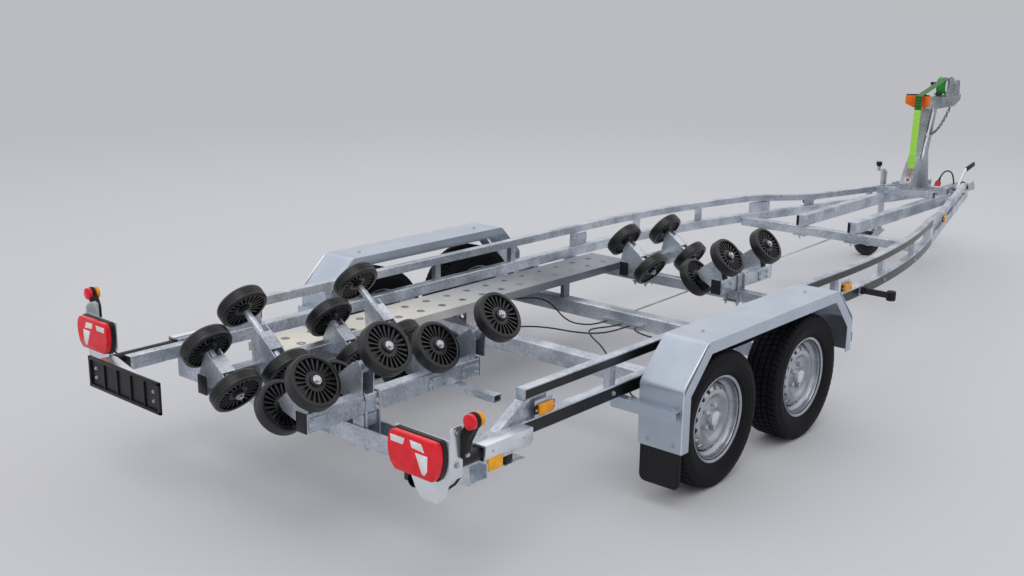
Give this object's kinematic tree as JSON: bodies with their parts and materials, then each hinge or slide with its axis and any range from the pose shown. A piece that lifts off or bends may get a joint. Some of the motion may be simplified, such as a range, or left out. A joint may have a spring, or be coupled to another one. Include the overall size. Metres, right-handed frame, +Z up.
{
  "type": "boat trailer",
  "caption": "Tandem-axle galvanised boat trailer with tilted hull rollers, fenders, winch stand, jockey wheel, ball coupling and sliding rear lamp carriers.",
  "frame": {"origin": "on the floor, in the middle of the trailer's length and width", "axes": "+X forward to the coupling, +Y left, +Z up"},
  "size_m": [7.65, 2.37, 1.45],
  "materials": {
    "amber": "gloss lens",
    "black_plastic": "textured",
    "black_rubber": "matt",
    "galvanised": "hot-dip galvanised",
    "green_web": "woven webbing",
    "lamp_red": "gloss lens",
    "orange_pad": "satin",
    "roller_rubber": "moulded matt",
    "tyre": "matt",
    "wheel_steel": "silver lacquer",
    "zinc": "zinc plated"
  },
  "bodies": {
    "frame": {"axle_front": "galvanised", "axle_rear": "galvanised", "bellows": "black_rubber", "bow_stop": "orange_pad", "brake_cables": "black_rubber", "brake_rod": "zinc", "coupling_head": "zinc", "cross_members": "galvanised", "drawbar_beams": "galvanised", "fender_left": "galvanised", "fender_right": "galvanised", "handbrake_lever": "black_plastic", "jockey_tube": "zinc", "lamp_sleeves": "galvanised", "lower_rail_left": "galvanised", "lower_rail_right": "galvanised", "mudflaps": "black_rubber", "overrun_housing": "galvanised", "rail_posts_left": "galvanised", "rail_posts_right": "galvanised", "roller_beam_middle_left": "galvanised", "roller_beam_middle_right": "galvanised", "roller_beam_rear_left": "galvanised", "roller_beam_rear_right": "galvanised", "side_markers": "amber", "trailer_lead": "black_rubber", "upper_rail_left": "galvanised", "upper_rail_right": "galvanised", "walkway": "galvanised", "winch": "zinc", "winch_post": "galvanised", "winch_strap": "green_web"},
    "road_wheel_front_left": {"tyre_front_left": "tyre", "wheel_front_left": "wheel_steel"},
    "road_wheel_front_right": {"tyre_front_right": "tyre", "wheel_front_right": "wheel_steel"},
    "road_wheel_rear_left": {"tyre_rear_left": "tyre", "wheel_rear_left": "wheel_steel"},
    "road_wheel_rear_right": {"tyre_rear_right": "tyre", "wheel_rear_right": "wheel_steel"},
    "roller_pair_rear_left_1": {"rollers_rear_left_1": "roller_rubber"},
    "roller_pair_rear_left_2": {"rollers_rear_left_2": "roller_rubber"},
    "roller_pair_rear_left_3": {"rollers_rear_left_3": "roller_rubber"},
    "roller_pair_rear_left_4": {"rollers_rear_left_4": "roller_rubber"},
    "roller_pair_rear_right_1": {"rollers_rear_right_1": "roller_rubber"},
    "roller_pair_rear_right_2": {"rollers_rear_right_2": "roller_rubber"},
    "roller_pair_rear_right_3": {"rollers_rear_right_3": "roller_rubber"},
    "roller_pair_rear_right_4": {"rollers_rear_right_4": "roller_rubber"},
    "roller_pair_middle_left_1": {"rollers_middle_left_1": "roller_rubber"},
    "roller_pair_middle_left_2": {"rollers_middle_left_2": "roller_rubber"},
    "roller_pair_middle_right_1": {"rollers_middle_right_1": "roller_rubber"},
    "roller_pair_middle_right_2": {"rollers_middle_right_2": "roller_rubber"},
    "jockey_leg": {"jockey_leg": "zinc"},
    "jockey_castor": {"jockey_fork": "zinc"},
    "jockey_road_wheel": {"jockey_wheel": "roller_rubber"},
    "lamp_slide_left": {"lamp_carrier_left": "zinc", "lamps_left": "lamp_red", "plate_holder": "black_plastic"},
    "lamp_slide_right": {"lamp_carrier_right": "zinc", "lamps_right": "lamp_red"}
  },
  "joints": [
    {"name": "spin_front_left", "type": "hinge", "parent": "frame", "child": "road_wheel_front_left", "pos_m": [-1.312, 1.0575, 0.306], "axis": [0, 1, 0], "continuous": true},
    {"name": "spin_front_right", "type": "hinge", "parent": "frame", "child": "road_wheel_front_right", "pos_m": [-1.312, -1.0575, 0.306], "axis": [0, 1, 0], "continuous": true},
    {"name": "spin_rear_left", "type": "hinge", "parent": "frame", "child": "road_wheel_rear_left", "pos_m": [-2.078, 1.0575, 0.306], "axis": [0, 1, 0], "continuous": true},
    {"name": "spin_rear_right", "type": "hinge", "parent": "frame", "child": "road_wheel_rear_right", "pos_m": [-2.078, -1.0575, 0.306], "axis": [0, 1, 0], "continuous": true},
    {"name": "roll_rear_left_1", "type": "hinge", "parent": "frame", "child": "roller_pair_rear_left_1", "pos_m": [-3.625, 0.238, 0.597], "axis": [0, 0.7986, 0.6018], "continuous": true},
    {"name": "roll_rear_left_2", "type": "hinge", "parent": "frame", "child": "roller_pair_rear_left_2", "pos_m": [-3.365, 0.296, 0.655], "axis": [0, 0.7986, 0.6018], "continuous": true},
    {"name": "roll_rear_left_3", "type": "hinge", "parent": "frame", "child": "roller_pair_rear_left_3", "pos_m": [-2.985, 0.238, 0.59], "axis": [0, 0.7986, 0.6018], "continuous": true},
    {"name": "roll_rear_left_4", "type": "hinge", "parent": "frame", "child": "roller_pair_rear_left_4", "pos_m": [-2.73, 0.296, 0.648], "axis": [0, 0.7986, 0.6018], "continuous": true},
    {"name": "roll_rear_right_1", "type": "hinge", "parent": "frame", "child": "roller_pair_rear_right_1", "pos_m": [-3.625, -0.238, 0.597], "axis": [0, -0.7986, 0.6018], "continuous": true},
    {"name": "roll_rear_right_2", "type": "hinge", "parent": "frame", "child": "roller_pair_rear_right_2", "pos_m": [-3.365, -0.296, 0.655], "axis": [0, -0.7986, 0.6018], "continuous": true},
    {"name": "roll_rear_right_3", "type": "hinge", "parent": "frame", "child": "roller_pair_rear_right_3", "pos_m": [-2.985, -0.238, 0.59], "axis": [0, -0.7986, 0.6018], "continuous": true},
    {"name": "roll_rear_right_4", "type": "hinge", "parent": "frame", "child": "roller_pair_rear_right_4", "pos_m": [-2.73, -0.296, 0.648], "axis": [0, -0.7986, 0.6018], "continuous": true},
    {"name": "roll_middle_left_1", "type": "hinge", "parent": "frame", "child": "roller_pair_middle_left_1", "pos_m": [-0.74, 0.25, 0.596], "axis": [0, 0.7986, 0.6018], "continuous": true},
    {"name": "roll_middle_left_2", "type": "hinge", "parent": "frame", "child": "roller_pair_middle_left_2", "pos_m": [-0.32, 0.25, 0.596], "axis": [0, 0.7986, 0.6018], "continuous": true},
    {"name": "roll_middle_right_1", "type": "hinge", "parent": "frame", "child": "roller_pair_middle_right_1", "pos_m": [-0.74, -0.25, 0.596], "axis": [0, -0.7986, 0.6018], "continuous": true},
    {"name": "roll_middle_right_2", "type": "hinge", "parent": "frame", "child": "roller_pair_middle_right_2", "pos_m": [-0.32, -0.25, 0.596], "axis": [0, -0.7986, 0.6018], "continuous": true},
    {"name": "jockey_slide", "type": "slide", "parent": "frame", "child": "jockey_leg", "axis": [0, 0, 1], "range_m": [-0.05, 0.095]},
    {"name": "jockey_swivel", "type": "hinge", "parent": "jockey_leg", "child": "jockey_castor", "pos_m": [2.805, 0.33554, 0.22], "axis": [0, 0, 1], "continuous": true},
    {"name": "jockey_roll", "type": "hinge", "parent": "jockey_castor", "child": "jockey_road_wheel", "pos_m": [2.74595, 0.40346, 0.1], "axis": [0.7547, 0.6561, 0], "continuous": true},
    {"name": "lamp_extend_left", "type": "slide", "parent": "frame", "child": "lamp_slide_left", "axis": [-1, 0, 0], "range_m": [0, 0.22]},
    {"name": "lamp_extend_right", "type": "slide", "parent": "frame", "child": "lamp_slide_right", "axis": [-1, 0, 0], "range_m": [0, 0.22]}
  ]
}
